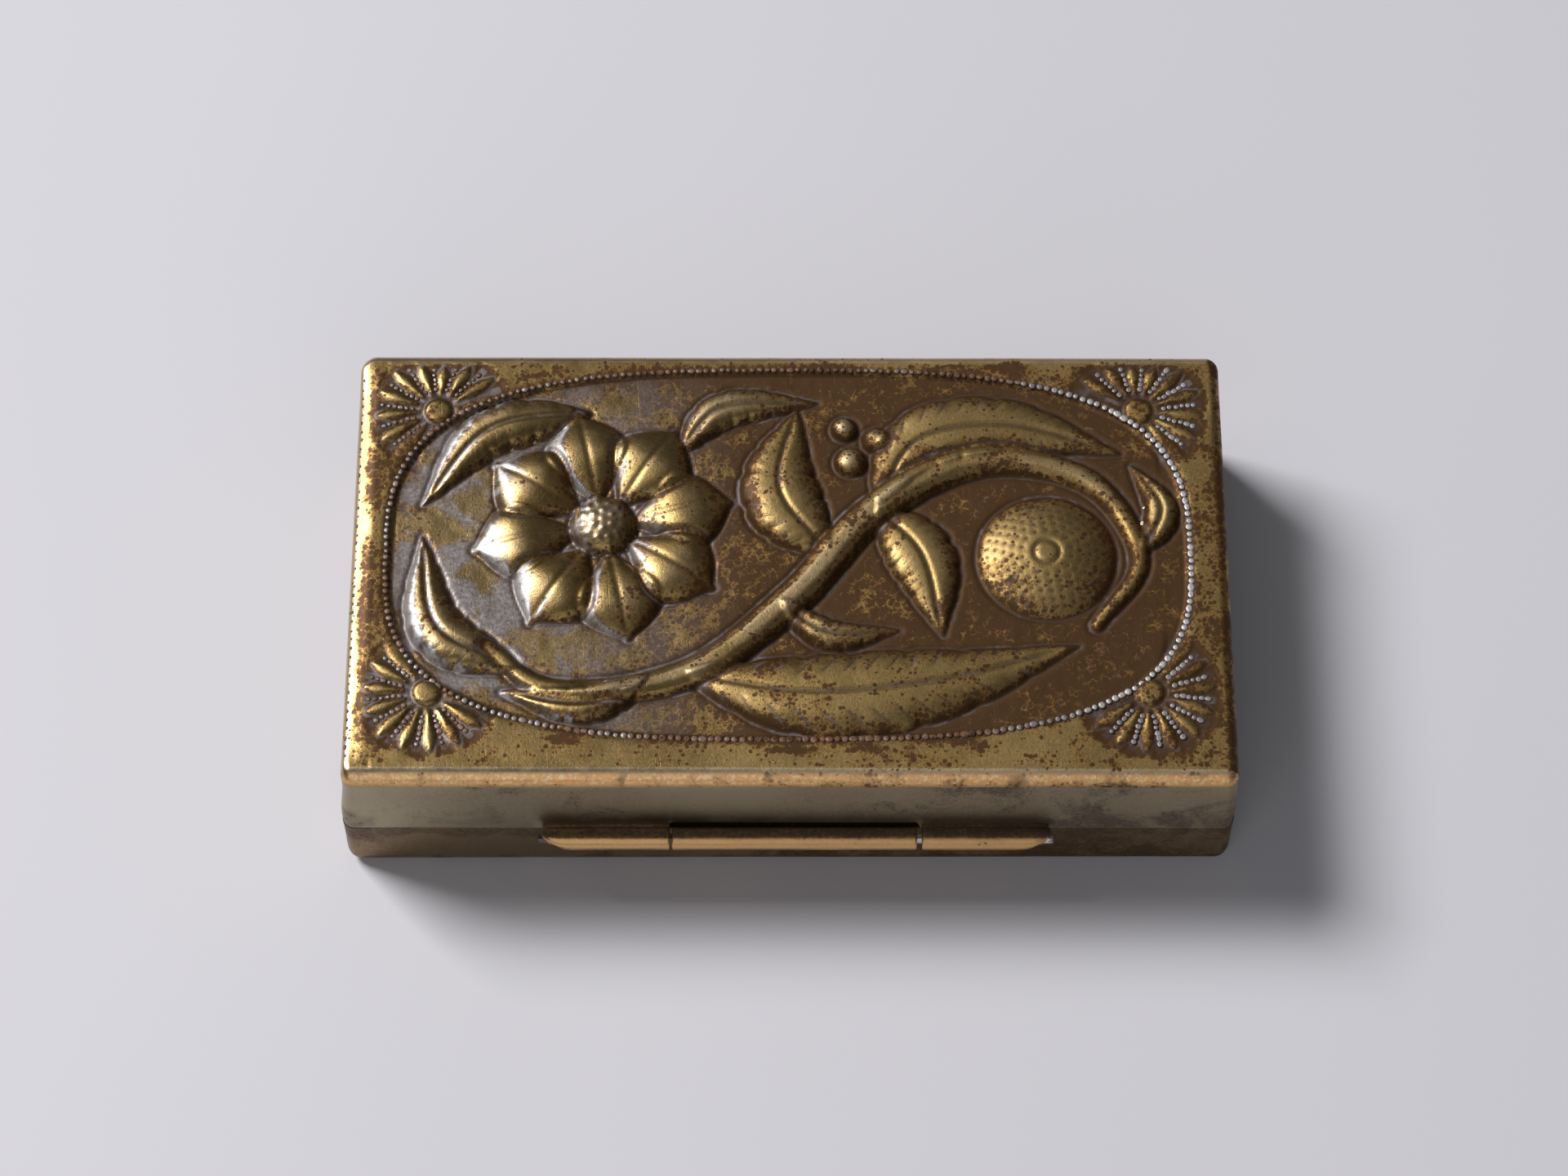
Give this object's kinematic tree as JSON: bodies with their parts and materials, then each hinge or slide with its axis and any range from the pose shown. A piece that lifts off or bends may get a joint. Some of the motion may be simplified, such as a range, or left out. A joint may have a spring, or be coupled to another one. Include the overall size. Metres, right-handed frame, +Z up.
{
  "type": "hinged box",
  "caption": "Small rectangular brass box with a hinged lid, embossed with a flower, leaves and a fruit in a beaded oval, for the pocket or table.",
  "frame": {"origin": "middle of the flat underside", "axes": "+X along the length, to the right with the hinge side in front; +Y from the hinge side to the opening side; +Z up through the lid"},
  "size_m": [0.0906, 0.054, 0.0204],
  "materials": {
    "lid_brass": "worn, with brown patina in the hollows",
    "base_brass": "dark patina",
    "hinge_brass": "rubbed bright",
    "rim_brass": "satin",
    "pin_steel": "worn"
  },
  "bodies": {
    "base": {"base_pan": "base_brass", "base_band": "base_brass", "rim_strip": "rim_brass", "base_knuckle": "hinge_brass"},
    "lid": {"lid_panel": "lid_brass", "lid_band": "lid_brass", "thumb_lip": "lid_brass", "lid_knuckle_left": "hinge_brass", "lid_knuckle_right": "hinge_brass", "hinge_pin": "pin_steel"}
  },
  "joints": [
    {"name": "lid_hinge", "type": "hinge", "parent": "base", "child": "lid", "pos_m": [0, -0.02628, 0.0084], "axis": [1, 0, 0], "range_deg": [0, 135]}
  ]
}
